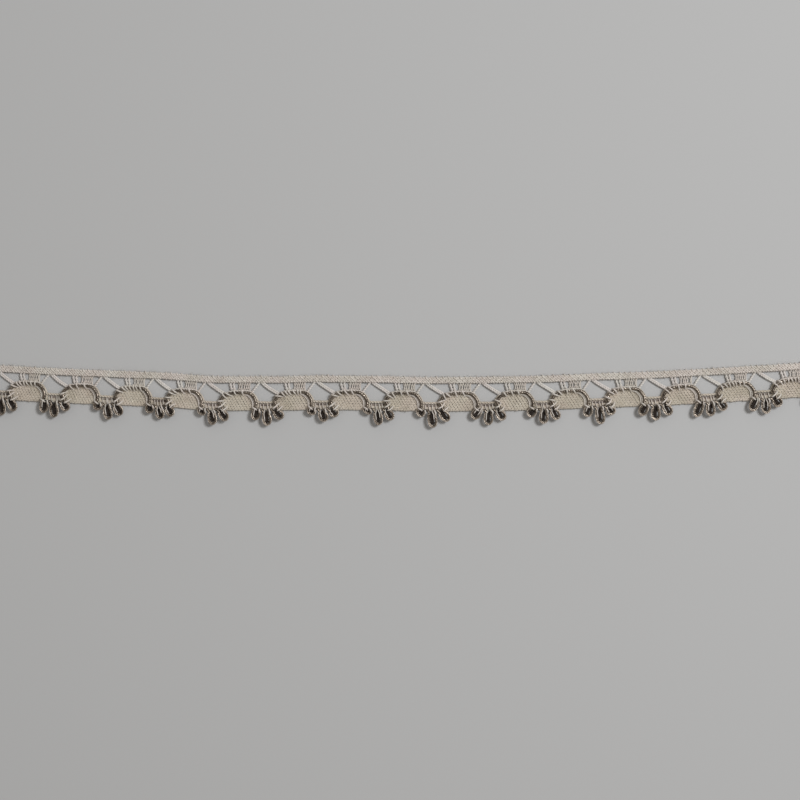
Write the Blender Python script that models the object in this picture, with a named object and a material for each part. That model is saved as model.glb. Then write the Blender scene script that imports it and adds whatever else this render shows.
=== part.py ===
"""Bobbin lace edging in cotton with a metal gimp laid along its face.

A cut length of sixteen repeats lies flat and face up. X runs along the edging, +Y is the
side of the heading, the straight edge that is sewn down, and +Z is up. The cotton rests on
z = 0. Its pattern is laid out along the band and down from the top of the heading, in
millimetres, and then bent to the gentle arc in which the edging lies.
"""
import math

import bmesh
import bpy
from mathutils import Matrix, Vector
from mathutils.geometry import delaunay_2d_cdt

MM = 0.001

# Pattern of one repeat, in millimetres
PITCH = 13.0              # length of a repeat before it is pulled
HEADING = 1.9             # width of the heading band
CREST_TOP = 3.5           # upper side of the cotton under the wave's crest
FOOT = 8.2                # foot of the cloth blocks
BRIDGE_FOOT = 8.0         # foot of the cotton across a valley
COTTON = 1.0              # thickness of the cotton at its ribs
EDGE = 0.7                # thickness at its rounded edges
CORD = 0.7                # diameter of the metal gimp
CLEARANCE = 0.3           # between the gimp and the cotton under it
PICOT_WIDTH = 1.45        # across a picot, between the middles of its legs
PICOT_NECK = 1.1          # across its neck
PICOT_DROOP = 0.25        # how far the tip of a picot hangs below the wave
CORD_SIDES = 5

# The lie of the band, in millimetres
ARC_RADIUS = 1465.0       # radius of the arc that the heading follows
ARC_LOW = -4.5            # place along X where the arc is lowest

# Ribs of the heading and of the cloth blocks: every one is a ridge and a trough
HEADING_RIB = {"count": 10, "top": 0.35, "foot": 1.6, "slant": 0.45, "ridge": COTTON, "trough": 0.78}
BLOCK_RIB = {"count": 7, "top": 4.75, "foot": 7.8, "slant": 0.5, "ridge": COTTON, "trough": 0.82}
BLOCK_RIB_START = 3.9     # first block rib, along from the valley's middle
BLOCK_RIB_STEP = 0.8
CUT_BLOCK_RIB_START = 0.3  # first rib of the half block at the left end, from the cut
SCALLOP = 0.1             # depth of the heading's edge between two ribs
FILL_TOLERANCE = 1e-5     # closest that two points of the pattern may lie

# Each repeat as it lies, in millimetres: step is the distance to the next valley and sway how far
# the band strays from its arc there. The rest are the tips of the left, middle and right picot,
# along from the valley's middle and down from the top of the heading.
REPEATS = (
    # step   sway   left          middle       right
    (12.64, -0.14, (-2.6, 9.9), (0.6, 11.7), (3.6, 10.5)),
    (12.57, -0.09, (-2.4, 10.6), (0.3, 11.5), (3.4, 9.8)),
    (12.24, 0.02, (-2.2, 9.4), (0.6, 11.5), (3.5, 10.4)),
    (12.40, 0.07, (-2.3, 9.7), (0.6, 10.9), (3.3, 10.1)),
    (12.88, -0.40, (-2.6, 9.2), (0.5, 11.4), (3.6, 10.4)),
    (13.24, -0.13, (-2.5, 10.3), (0.5, 11.6), (3.7, 10.0)),
    (13.14, 0.29, (-2.6, 9.2), (0.7, 10.8), (3.4, 9.6)),
    (12.74, 0.24, (-2.5, 8.9), (0.4, 11.5), (3.4, 10.3)),
    (13.52, -0.03, (-3.0, 9.2), (0.4, 11.9), (3.7, 10.4)),
    (12.95, -0.08, (-3.4, 9.9), (-0.1, 11.4), (3.5, 10.3)),
    (13.12, -0.11, (-3.3, 9.6), (0.0, 11.3), (3.3, 10.4)),
    (13.33, 0.06, (-2.9, 10.1), (0.4, 12.0), (3.1, 9.8)),
    (12.97, -0.02, (-3.3, 10.2), (0.0, 11.5), (3.4, 10.4)),
    (13.00, 0.07, (-3.4, 11.2), (0.0, 11.2), (3.4, 9.9)),
    (13.00, 0.13, (-3.2, 10.6), (0.1, 11.4), (3.4, 9.8)),
    (13.00, 0.15, (-3.1, 10.1), (0.2, 11.4), (3.5, 10.1)),
)

# Gaps that are cut through, along from the valley's middle and down from the top of the heading
GAP_UNDER_PLAIT = (
    (-1.3, 2.4), (1.75, 4.4), (1.65, 6.05),
    (-1.9, 6.15), (-2.35, 5.35), (-3.0, 4.45), (-3.0, 4.0),
)
GAP_OVER_PLAIT = ((1.0, HEADING), (4.05, HEADING), (4.2, 3.9), (3.35, 3.95))
GAP_OVER_CREST_START = ((5.7, CREST_TOP), (5.5, HEADING))
GAP_OVER_CREST_END = ((-2.3, HEADING), (-3.6, 3.6), (-4.1, CREST_TOP))

# Foot of the cotton across a valley, from one block to the next
BRIDGE_EDGE = ((-3.3, FOOT), (-2.6, BRIDGE_FOOT), (2.8, BRIDGE_FOOT), (3.5, FOOT))

# Crowned middles of the plaits, the shoulder strand, the bridge and the crest
CROWNS = (
    ((-0.35, 2.3), (0.9, 3.1), (2.3, 4.0)),
    ((4.78, 2.3), (4.95, 3.8)),
    ((-2.1, 2.3), (-3.1, 3.7)),
    ((-1.5, 7.1), (0.1, 7.2), (1.8, 7.1)),
    ((5.6, 4.1), (7.4, 4.1)),
)

# The wave of the gimp through one repeat, without its picots
FALLING = ((-4.9, 4.0), (-3.8, 4.3), (-2.9, 5.2), (-2.4, 6.2), (-2.35, 7.1))
RISING = ((2.5, 7.2), (2.1, 6.3), (2.4, 5.5), (3.2, 4.75), (4.8, 4.15))
CREST = (PITCH / 2, 4.0)
ARCHES = ((-1.05, 8.15), (1.15, 8.1))
NECKS = {"left": (-2.15, 8.15), "middle": (0.05, 8.8), "right": (2.3, 8.4)}

# One picot: reach along its axis from neck to tip, and spread to the side in half widths
PICOT_SHAPE = ((0.0, -1.0), (0.5, -1.0), (0.86, -0.75), (1.0, 0.0), (0.86, 0.75), (0.5, 1.0), (0.0, 1.0))

COTTON_COLOUR = (0.62, 0.56, 0.45, 1.0)
METAL_COLOUR = (0.20, 0.18, 0.16, 1.0)


def valley_places():
    """Place of each valley's middle along X, in millimetres, with the whole length centred."""
    places = [0.0]
    for repeat in REPEATS[:-1]:
        places.append(places[-1] + repeat[0])
    middle = (places[-1] + REPEATS[-1][0] / 2 - REPEATS[0][0] / 2) / 2
    return [place - middle for place in places]


VALLEYS = valley_places()


def blend_at(along, values):
    """Value at a place along the pattern, eased between one valley and the next."""
    position = min(max(along / PITCH, 0.0), len(values) - 1.0)
    index = min(int(position), len(values) - 2)
    share = position - index
    ease = share * share * (3 - 2 * share)
    return values[index] * (1 - ease) + values[index + 1] * ease


def along_to_x(along):
    """Stretch the even pattern to the valleys as they lie."""
    index = min(max(int(along // PITCH), 0), len(VALLEYS) - 1)
    return VALLEYS[index] + (along / PITCH - index) * REPEATS[index][0]


def place(along, down, height):
    """Point of the bent band, in metres."""
    x = along_to_x(along)
    sway = blend_at(along, [repeat[1] for repeat in REPEATS])
    y = (x - ARC_LOW) ** 2 / (2 * ARC_RADIUS) + sway
    slope = (x - ARC_LOW) / ARC_RADIUS
    length = math.hypot(1.0, slope)
    return Vector((x + down * slope / length, y - down / length, height)) * MM


def shifted(points, repeat):
    """Points of one repeat moved to their own repeat of the pattern."""
    return [(along + repeat * PITCH, down) for along, down in points]


def outline_loop():
    """Outer edge of the cotton, counterclockwise as seen from above."""
    count = len(REPEATS)
    start = -PITCH / 2
    end = start + count * PITCH
    loop = [(start, FOOT)]
    for repeat in range(count):
        loop += shifted(BRIDGE_EDGE, repeat) + [(start + (repeat + 1) * PITCH, FOOT)]
    loop += [(end, CREST_TOP)] + shifted(GAP_OVER_CREST_START, count - 1) + [(end, HEADING)]
    loop += heading_edge(start, end)
    loop += [(start, HEADING)] + list(GAP_OVER_CREST_END) + [(start, CREST_TOP)]
    return loop


def heading_edge(start, end):
    """Scalloped top of the heading from its right end to its left end."""
    half_step = PITCH / HEADING_RIB["count"] / 2
    steps = round((end - start) / half_step)
    return [(end - step * half_step, 0.0 if step % 2 else SCALLOP) for step in range(steps + 1)]


def gap_loops():
    """Edges of all the gaps that are cut through the cotton."""
    loops = []
    for repeat in range(len(REPEATS)):
        loops.append(shifted(GAP_UNDER_PLAIT, repeat))
        loops.append(shifted(GAP_OVER_PLAIT, repeat))
    for repeat in range(len(REPEATS) - 1):
        over_crest = shifted(GAP_OVER_CREST_START, repeat) + shifted(GAP_OVER_CREST_END, repeat + 1)
        loops.append(over_crest)
    return loops


def rib_lines(rib, first, step, count):
    """Slanted ridge and trough lines, each with its height."""
    lines = []
    for index in range(2 * count):
        along = first + index * step / 2
        height = rib["trough"] if index % 2 else rib["ridge"]
        lines.append(([(along, rib["top"]), (along + rib["slant"], rib["foot"])], height))
    return lines


def relief_lines():
    """Every raised or sunk line on the cotton's face, with its height."""
    start = -PITCH / 2
    end = start + len(REPEATS) * PITCH
    step = PITCH / HEADING_RIB["count"]
    lines = rib_lines(HEADING_RIB, start + step / 4, step, len(REPEATS) * HEADING_RIB["count"] - 1)
    for repeat in range(len(REPEATS)):
        for crown in CROWNS:
            lines.append(([point for point in shifted(crown, repeat) if point[0] < end], COTTON))
    half_block = BLOCK_RIB["count"] // 2
    lines += rib_lines(BLOCK_RIB, start + CUT_BLOCK_RIB_START, BLOCK_RIB_STEP, half_block)
    for repeat in range(len(REPEATS)):
        is_cut = repeat == len(REPEATS) - 1
        first = repeat * PITCH + BLOCK_RIB_START
        lines += rib_lines(BLOCK_RIB, first, BLOCK_RIB_STEP, half_block - 1 if is_cut else BLOCK_RIB["count"])
    return lines


def inside_loop(point, loop):
    """Whether a point lies inside a closed loop, by counting the edges to its right."""
    x, y = point
    inside = False
    for (x1, y1), (x2, y2) in zip(loop, loop[1:] + loop[:1]):
        if (y1 > y) != (y2 > y) and x < x1 + (y - y1) / (y2 - y1) * (x2 - x1):
            inside = not inside
    return inside


def fill(loops, lines):
    """Triangles between the outline and the gaps, with the lines as edges; returns points and faces."""
    points = []
    edges = []
    for loop in loops:
        first = len(points)
        points += loop
        edges += [(first + i, first + (i + 1) % len(loop)) for i in range(len(loop))]
    for line, _ in lines:
        first = len(points)
        points += line
        edges += [(first + i, first + i + 1) for i in range(len(line) - 1)]
    filled = delaunay_2d_cdt([Vector(point) for point in points], edges, [], 0, FILL_TOLERANCE, True)
    source = [ids[0] for ids in filled[3]]
    outline, gaps = loops[0], loops[1:]
    near = [(min(p[0] for p in gap), max(p[0] for p in gap), gap) for gap in gaps]
    faces = []
    for face in filled[2]:
        corners = [points[source[index]] for index in face]
        middle = (sum(p[0] for p in corners) / 3, sum(p[1] for p in corners) / 3)
        in_gap = any(low < middle[0] < high and inside_loop(middle, gap) for low, high, gap in near)
        if not in_gap and inside_loop(middle, outline):
            faces.append([source[index] for index in face])
    return points, faces


def finish_mesh(mesh, name, colour, roughness, metallic):
    """Turn a bmesh into an object of that name with its own material."""
    bmesh.ops.recalc_face_normals(mesh, faces=mesh.faces)
    data = bpy.data.meshes.new(name)
    mesh.to_mesh(data)
    mesh.free()
    material = bpy.data.materials.new(name)
    material.use_nodes = True
    shader = material.node_tree.nodes["Principled BSDF"]
    shader.inputs["Base Color"].default_value = colour
    shader.inputs["Roughness"].default_value = roughness
    shader.inputs["Metallic"].default_value = metallic
    data.materials.append(material)
    thing = bpy.data.objects.new(name, data)
    bpy.context.collection.objects.link(thing)
    return thing


def make_cotton():
    """The cotton lace: one sheet with its ribs raised and its gaps cut through."""
    loops = [outline_loop()] + gap_loops()
    lines = relief_lines()
    rim_count = sum(len(loop) for loop in loops)
    points, face_list = fill(loops, lines)
    heights = [EDGE] * rim_count
    for line, height in lines:
        heights += [height] * len(line)
    mesh = bmesh.new()
    upper = [mesh.verts.new(place(*point, height)) for point, height in zip(points, heights)]
    lower = [mesh.verts.new(place(*point, 0.0)) for point in points[:rim_count]]
    for face in face_list:
        mesh.faces.new([upper[index] for index in face])
    for face in fill(loops, [])[1]:
        mesh.faces.new([lower[index] for index in reversed(face)])
    first = 0
    for loop in loops:
        for index in range(len(loop)):
            a = first + index
            b = first + (index + 1) % len(loop)
            mesh.faces.new((upper[a], upper[b], lower[b], lower[a]))
        first += len(loop)
    return finish_mesh(mesh, "cotton_lace", COTTON_COLOUR, roughness=0.9, metallic=0.0)


def picot_points(neck, tip):
    """One picot's loop from its left leg round the tip to its right leg, with each point's reach."""
    start = Vector(neck)
    axis = Vector(tip) - start
    side = Vector((axis.y, -axis.x)).normalized()
    points = []
    for reach, spread in PICOT_SHAPE:
        half_width = PICOT_NECK / 2 if reach == 0.0 else PICOT_WIDTH / 2
        point = start + axis * reach + side * spread * half_width
        points.append((point.x, point.y, reach))
    return points


def gimp_path():
    """Middle line of the gimp from end to end, as points along, down and up."""
    height = COTTON + CLEARANCE + CORD / 2
    path = [(-PITCH / 2, CREST[1], height)]
    for repeat, (_, _, left, middle, right) in enumerate(REPEATS):
        wave = [(*point, 0.0) for point in FALLING]
        wave += picot_points(NECKS["left"], left) + [(*ARCHES[0], 0.0)]
        wave += picot_points(NECKS["middle"], middle) + [(*ARCHES[1], 0.0)]
        wave += picot_points(NECKS["right"], right)
        wave += [(*point, 0.0) for point in RISING + (CREST,)]
        path += [(u + repeat * PITCH, t, height - PICOT_DROOP * reach) for u, t, reach in wave]
    return path


def make_gimp():
    """The metal gimp: one round cord through its wave and its picots, lying over the cotton."""
    centres = [place(*point) for point in gimp_path()]
    mesh = bmesh.new()
    rings = []
    for index, centre in enumerate(centres):
        before = centres[max(index - 1, 0)]
        after = centres[min(index + 1, len(centres) - 1)]
        to_here = (centre - before).normalized()
        from_here = (after - centre).normalized()
        tangent = (to_here + from_here).normalized()
        side = tangent.cross(Vector((0, 0, 1))).normalized()
        up = side.cross(tangent)
        ring = []
        for corner in range(CORD_SIDES):
            angle = math.pi / 2 + corner * math.tau / CORD_SIDES
            offset = (side * math.cos(angle) + up * math.sin(angle)) * CORD / 2 * MM
            ring.append(mesh.verts.new(centre + offset))
        rings.append(ring)
    for ring, following in zip(rings, rings[1:]):
        for corner in range(CORD_SIDES):
            beside = (corner + 1) % CORD_SIDES
            mesh.faces.new((ring[corner], ring[beside], following[beside], following[corner]))
    mesh.faces.new(rings[0])
    mesh.faces.new(rings[-1])
    return finish_mesh(mesh, "metal_gimp", METAL_COLOUR, roughness=0.35, metallic=1.0)


def centre_on_surface(things):
    """Move the meshes so that the middle of their box is over the origin."""
    corners = [vertex.co for thing in things for vertex in thing.data.vertices]
    x_middle = (min(c.x for c in corners) + max(c.x for c in corners)) / 2
    y_middle = (min(c.y for c in corners) + max(c.y for c in corners)) / 2
    for thing in things:
        thing.data.transform(Matrix.Translation((-x_middle, -y_middle, 0.0)))


def main():
    for thing in list(bpy.data.objects):
        bpy.data.objects.remove(thing, do_unlink=True)
    centre_on_surface([make_cotton(), make_gimp()])


main()
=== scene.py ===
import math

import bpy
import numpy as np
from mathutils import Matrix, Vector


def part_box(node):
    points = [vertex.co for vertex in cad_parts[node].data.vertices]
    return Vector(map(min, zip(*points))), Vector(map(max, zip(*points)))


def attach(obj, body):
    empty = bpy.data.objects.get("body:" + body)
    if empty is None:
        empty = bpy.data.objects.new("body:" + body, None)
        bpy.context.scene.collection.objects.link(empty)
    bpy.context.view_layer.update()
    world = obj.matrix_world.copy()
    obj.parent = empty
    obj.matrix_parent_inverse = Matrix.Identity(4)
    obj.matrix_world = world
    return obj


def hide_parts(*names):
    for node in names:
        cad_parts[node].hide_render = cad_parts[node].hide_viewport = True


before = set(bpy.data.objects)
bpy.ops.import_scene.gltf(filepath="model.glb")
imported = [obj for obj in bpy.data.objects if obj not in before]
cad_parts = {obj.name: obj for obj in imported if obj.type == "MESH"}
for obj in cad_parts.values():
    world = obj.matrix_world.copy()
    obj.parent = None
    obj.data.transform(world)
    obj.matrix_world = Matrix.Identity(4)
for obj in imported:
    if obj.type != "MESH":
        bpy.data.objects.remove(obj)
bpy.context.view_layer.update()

# Bobbin lace edging with a metal gimp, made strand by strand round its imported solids.
# The settings hold the sizes and colours, each operator makes one piece or group of like pieces,
# and the panel lists them. The pattern is in millimetres: along the band from the middle of the
# first valley, down from the top of the heading, and up from the floor.

bl_info = {
    "name": "Bobbin Lace Edging",
    "version": (1, 0, 0),
    "blender": (4, 5, 0),
    "location": "View3D > Sidebar > Lace",
    "description": "Cotton bobbin lace edging with a metal gimp",
    "category": "Object",
}

# Sizes of the edging in millimetres
MM = 0.001
PITCH = 13.0
FOOT = 8.2
ARC_RADIUS = 1465.0
ARC_LOW = -4.5
CORD = 0.7
CORD_HEIGHT = 1.65
PICOT_WIDTH = 1.6
PICOT_NECK = 1.1
PICOT_DROOP = 0.25
CORE_WIDTH = 0.44
CORE_OFFSET = 0.18
BLOCK_TOP = 4.35
BLOCK_FOOT = 8.15
BLOCK_SLANT = 0.58
BLOCK_PAIR_STEP = 0.75
BLOCK_LEVELS = (4.75, 5.35, 5.95, 6.55, 7.15, 7.7, 8.1)
HEADING_STITCH = PITCH / 10

# The stage: what the picture shows, the floor and the lights
PICTURE_PIXELS = 800
PIXEL = 0.2385
PICTURE_MIDDLE = (-10.5 * PIXEL, -6.6 * PIXEL)
LENS = 85.0
FLOOR_HALF_WIDTH = 3.0
LAMP_PLACE = (0.36, 0.20, 0.70)
LAMP_SIZE = 0.2
LAMP_COLOUR = (0.97, 0.985, 1.0)
SKY_COLOUR = (1.0, 0.965, 0.92, 1.0)

# Each repeat as it lies: step to the next valley, sway off the arc, and the tips of the left,
# middle and right picot, along from the valley's middle and down from the top of the heading
REPEATS = (
    # step   sway   left          middle       right
    (12.64, -0.14, (-2.6, 9.9), (0.6, 11.7), (3.6, 10.5)),
    (12.57, -0.09, (-2.4, 10.6), (0.3, 11.5), (3.4, 9.8)),
    (12.24, 0.02, (-2.2, 9.4), (0.6, 11.5), (3.5, 10.4)),
    (12.40, 0.07, (-2.3, 9.7), (0.6, 10.9), (3.3, 10.1)),
    (12.88, -0.40, (-2.6, 9.2), (0.5, 11.4), (3.6, 10.4)),
    (13.24, -0.13, (-2.5, 10.3), (0.5, 11.6), (3.7, 10.0)),
    (13.14, 0.29, (-2.6, 9.2), (0.7, 10.8), (3.4, 9.6)),
    (12.74, 0.24, (-2.5, 8.9), (0.4, 11.5), (3.4, 10.3)),
    (13.52, -0.03, (-3.0, 9.2), (0.4, 11.9), (3.7, 10.4)),
    (12.95, -0.08, (-3.4, 9.9), (-0.1, 11.4), (3.5, 10.3)),
    (13.12, -0.11, (-3.3, 9.6), (0.0, 11.3), (3.3, 10.4)),
    (13.33, 0.06, (-2.9, 10.1), (0.4, 12.0), (3.1, 9.8)),
    (12.97, -0.02, (-3.3, 10.2), (0.0, 11.5), (3.4, 10.4)),
    (13.00, 0.07, (-3.4, 11.2), (0.0, 11.2), (3.4, 9.9)),
    (13.00, 0.13, (-3.2, 10.6), (0.1, 11.4), (3.4, 9.8)),
    (13.00, 0.15, (-3.1, 10.1), (0.2, 11.4), (3.5, 10.1)),
)
START = -PITCH / 2
END = START + len(REPEATS) * PITCH

# The wave of the gimp through one repeat, without its picots
FALLING = ((-4.9, 4.0), (-3.8, 4.3), (-2.9, 5.2), (-2.4, 6.2), (-2.35, 7.1))
RISING = ((2.5, 7.2), (2.1, 6.3), (2.4, 5.5), (3.2, 4.75), (4.8, 4.15))
CREST = (PITCH / 2, 4.0)
ARCHES = ((-1.05, 8.15), (1.15, 8.1))
NECKS = {"left": (-2.15, 8.15), "middle": (0.05, 8.8), "right": (2.3, 8.4)}
PICOT_SHAPE = ((0.0, -1.0), (0.5, -1.0), (0.86, -0.75), (1.0, 0.0), (0.86, 0.75), (0.5, 1.0), (0.0, 1.0))

SEED = 11
chance = np.random.default_rng(SEED)


# The lie of the band

def valley_places():
    """Place of each valley's middle along X, with the whole length centred."""
    places = np.concatenate(([0.0], np.cumsum([repeat[0] for repeat in REPEATS[:-1]])))
    middle = (places[-1] + REPEATS[-1][0] / 2 - REPEATS[0][0] / 2) / 2
    return places - middle


VALLEYS = valley_places()


def bend(points):
    """Points of the flat pattern, as along, down and up, bent to the arc in which the band lies."""
    along, down, up = np.asarray(points, float).T
    index = np.clip(np.floor(along / PITCH).astype(int), 0, len(VALLEYS) - 1)
    steps = np.array([repeat[0] for repeat in REPEATS])
    x = VALLEYS[index] + (along / PITCH - index) * steps[index]
    position = np.clip(along / PITCH, 0.0, len(VALLEYS) - 1.0)
    left = np.minimum(position.astype(int), len(VALLEYS) - 2)
    share = position - left
    ease = share * share * (3 - 2 * share)
    sways = np.array([repeat[1] for repeat in REPEATS])
    y = (x - ARC_LOW) ** 2 / (2 * ARC_RADIUS) + sways[left] * (1 - ease) + sways[left + 1] * ease
    slope = (x - ARC_LOW) / ARC_RADIUS
    length = np.hypot(1.0, slope)
    return np.stack((x + down * slope / length, y - down / length, up), axis=1)


def frame_offset():
    """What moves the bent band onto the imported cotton, from two corners of its box."""
    low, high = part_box("cotton_lace")
    half_stitch = HEADING_STITCH / 2
    right = bend([(END, FOOT, 0.0)])[0][0]
    top = bend([(END - half_stitch, 0.0, 0.0)])[0][1]
    return np.array((high.x / MM - right, high.y / MM - top, 0.0))


OFFSET = frame_offset()


def laid(points):
    """Points of the flat pattern as points of the scene, in metres."""
    return (bend(points) + OFFSET) * MM


# Paths

def smooth(points, spacing=0.25):
    """A smooth path through given points, sampled at about one spacing."""
    points = np.asarray(points, float)
    padded = np.concatenate(([2 * points[0] - points[1]], points, [2 * points[-1] - points[-2]]))
    out = []
    for a, b, c, d in zip(padded, padded[1:], padded[2:], padded[3:]):
        count = max(2, int(round(np.linalg.norm(c - b) / spacing)))
        t = np.linspace(0.0, 1.0, count, endpoint=False)[:, None]
        out.append(0.5 * (2 * b + (c - a) * t + (2 * a - 5 * b + 4 * c - d) * t**2
                          + (3 * b - a - 3 * c + d) * t**3))
    return np.concatenate(out + [points[-1:]])


def along_repeat(points, repeat):
    """Points of one repeat moved to their own repeat of the pattern."""
    return np.asarray(points, float) + (repeat * PITCH, 0.0, 0.0)


def sideways(path):
    """Unit vectors to the right of a path in the plane of the band."""
    ahead = np.gradient(path[:, :2], axis=0)
    ahead /= np.linalg.norm(ahead, axis=1)[:, None] + 1e-9
    return np.stack((-ahead[:, 1], ahead[:, 0]), axis=1)


def beside(path, offset, height):
    """A path beside another in the plane, at its own height."""
    out = path.copy()
    out[:, :2] += sideways(path) * offset
    out[:, 2] = height
    return out


def arc_length(path):
    """Length along a path up to each of its points."""
    return np.concatenate(([0.0], np.cumsum(np.linalg.norm(np.diff(path, axis=0), axis=1))))


def resampled(path, spacing):
    """A path with even spacing."""
    length = arc_length(path)
    count = max(2, int(length[-1] / spacing) + 1)
    even = np.linspace(0.0, length[-1], count)
    return np.stack([np.interp(even, length, path[:, axis]) for axis in range(3)], axis=1)


def braid(axis_path, strands, width, depth, wave):
    """Strands that braid round a path: each swings across it and over and under the others."""
    axis_path = resampled(np.asarray(axis_path, float), 0.15)
    side = sideways(axis_path)
    phase = arc_length(axis_path) / wave * math.tau
    out = []
    for strand in range(strands):
        angle = phase + strand * math.tau / strands
        path = axis_path.copy()
        swing = np.sin(angle)
        lift = np.cos(angle) if strands == 2 else np.sin(2 * angle)
        path[:, :2] += side * (swing * width / 2)[:, None]
        path[:, 2] += lift * depth / 2
        out.append(path)
    return out


def picot_axes(neck, tip):
    """Where a picot starts, the way to its tip, and the unit vector across it."""
    start = np.array(neck)
    axis = np.array(tip) - start
    side = np.array((axis[1], -axis[0])) / np.linalg.norm(axis)
    return start, axis, side


def picot_points(neck, tip):
    """One picot's loop from its left leg round the tip to its right leg."""
    start, axis, side = picot_axes(neck, tip)
    points = []
    for reach, spread in PICOT_SHAPE:
        half_width = PICOT_NECK / 2 if reach == 0.0 else PICOT_WIDTH / 2
        point = start + axis * reach + side * spread * half_width
        points.append((point[0], point[1], CORD_HEIGHT - PICOT_DROOP * reach))
    return points


def flat_points(points, height):
    """Points of the pattern at one height."""
    return [(along, down, height) for along, down in points]


def gimp_path():
    """Middle line of the gimp from end to end."""
    path = [(START, CREST[1], CORD_HEIGHT)]
    for repeat, (_, _, left, middle, right) in enumerate(REPEATS):
        wave = flat_points(FALLING, CORD_HEIGHT)
        wave += picot_points(NECKS["left"], left) + flat_points(ARCHES[:1], CORD_HEIGHT)
        wave += picot_points(NECKS["middle"], middle) + flat_points(ARCHES[1:], CORD_HEIGHT)
        wave += picot_points(NECKS["right"], right)
        wave += flat_points(RISING + (CREST,), CORD_HEIGHT)
        path += [(u + repeat * PITCH, t, z) for u, t, z in wave]
    return smooth(path, 0.2)


def gimp_thickness(points):
    """Share of the gimp's full radius along it: it is pulled thinner in the picots."""
    drop = (CORD_HEIGHT - points[:, 2]) / PICOT_DROOP
    return 0.95 - 0.05 * np.clip(drop * 4.0, 0.0, 1.0)


def wave_path(repeat, height):
    """The wave without picots through one repeat: falling, across the valley, rising."""
    valley = ((-1.7, 7.75), (0.1, 7.95), (1.8, 7.75))
    points = ((START, CREST[1]),) + FALLING + valley + RISING + (CREST,)
    return along_repeat(smooth(flat_points(points, height), 0.2), repeat)


# Geometry node trees

class Tree:
    """Builds a geometry node tree with named inputs."""

    def __init__(self, name, inputs):
        self.group = bpy.data.node_groups.new(name, "GeometryNodeTree")
        face = self.group.interface
        face.new_socket("Geometry", in_out="INPUT", socket_type="NodeSocketGeometry")
        face.new_socket("Geometry", in_out="OUTPUT", socket_type="NodeSocketGeometry")
        for label, kind in inputs:
            face.new_socket(label, in_out="INPUT", socket_type=f"NodeSocket{kind}")
        self.input = self.group.nodes.new("NodeGroupInput")
        self.output = self.group.nodes.new("NodeGroupOutput")

    def add(self, kind, settings=None, **sockets):
        """A node of a type with its settings, and the values or links of its sockets."""
        node = self.group.nodes.new(kind)
        for key, value in (settings or {}).items():
            setattr(node, key, value)
        for key, value in sockets.items():
            self.join(value, node.inputs[key.replace("_", " ")])
        return node

    def join(self, value, target):
        if isinstance(value, bpy.types.NodeSocket):
            self.group.links.new(value, target)
        else:
            target.default_value = value

    def math(self, operation, *values):
        node = self.add("ShaderNodeMath", {"operation": operation})
        for value, target in zip(values, node.inputs):
            self.join(value, target)
        return node.outputs[0]


def yarn_tree():
    """Turns curves into twisted yarn: the section has one lobe a ply, and it turns along the yarn."""
    tree = Tree("Twisted Yarn", (
        ("Radius", "Float"), ("Ply Depth", "Float"), ("Plies", "Int"), ("Twist Length", "Float"),
        ("Spacing", "Float"), ("Sides", "Int"), ("Material", "Material"),
    ))
    given = tree.input.outputs
    even = tree.add("GeometryNodeResampleCurve", {"mode": "LENGTH"},
                    Curve=given["Geometry"], Length=given["Spacing"])
    spline = tree.add("GeometryNodeSplineParameter")
    turns = tree.math("DIVIDE", spline.outputs["Length"], given["Twist Length"])
    turn = tree.math("MULTIPLY", turns, math.tau)
    turned = tree.add("GeometryNodeSetCurveTilt", None, Curve=even.outputs[0], Tilt=turn)
    measured = tree.add("GeometryNodeStoreNamedAttribute", {"data_type": "FLOAT", "domain": "POINT"},
                        Geometry=turned.outputs[0], Name="yarn_length", Value=spline.outputs["Length"])
    circle = tree.add("GeometryNodeCurvePrimitiveCircle", None, Resolution=given["Sides"], Radius=1.0)
    around = tree.add("GeometryNodeSplineParameter")
    angle = tree.math("MULTIPLY", around.outputs["Factor"], math.tau)
    lobes = tree.math("COSINE", tree.math("MULTIPLY", angle, given["Plies"]))
    share = tree.math("ADD", tree.math("MULTIPLY", lobes, given["Ply Depth"]), 1.0)
    size = tree.math("MULTIPLY", share, given["Radius"])
    position = tree.add("GeometryNodeInputPosition")
    scaled = tree.add("ShaderNodeVectorMath", {"operation": "SCALE"},
                      Vector=position.outputs[0], Scale=size)
    section = tree.add("GeometryNodeSetPosition", None,
                       Geometry=circle.outputs[0], Position=scaled.outputs[0])
    rounded = tree.add("GeometryNodeStoreNamedAttribute", {"data_type": "FLOAT_VECTOR", "domain": "POINT"},
                       Geometry=section.outputs[0], Name="yarn_round", Value=position.outputs[0])
    radius = tree.add("GeometryNodeInputRadius")
    mesh = tree.add("GeometryNodeCurveToMesh", None, Curve=measured.outputs[0],
                    Profile_Curve=rounded.outputs[0], Scale=radius.outputs[0], Fill_Caps=True)
    soft = tree.add("GeometryNodeSetShadeSmooth", None, Geometry=mesh.outputs[0])
    real = tree.add("GeometryNodeRealizeInstances", None, Geometry=soft.outputs[0])
    painted = tree.add("GeometryNodeSetMaterial", None,
                       Geometry=real.outputs[0], Material=given["Material"])
    tree.group.links.new(painted.outputs[0], tree.output.inputs[0])
    return tree.group


def strand_curves(name, strands, radius=None):
    """A curve object with one poly spline for each strand of the flat pattern."""
    data = bpy.data.curves.new(name, "CURVE")
    data.dimensions = "3D"
    for points in strands:
        places = laid(points)
        spline = data.splines.new("POLY")
        spline.points.add(len(places) - 1)
        spline.points.foreach_set("co", np.column_stack((places, np.ones(len(places)))).ravel())
        thick = np.ones(len(places)) if radius is None else radius(points)
        spline.points.foreach_set("radius", thick)
    return bpy.data.objects.new(name, data)


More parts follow.
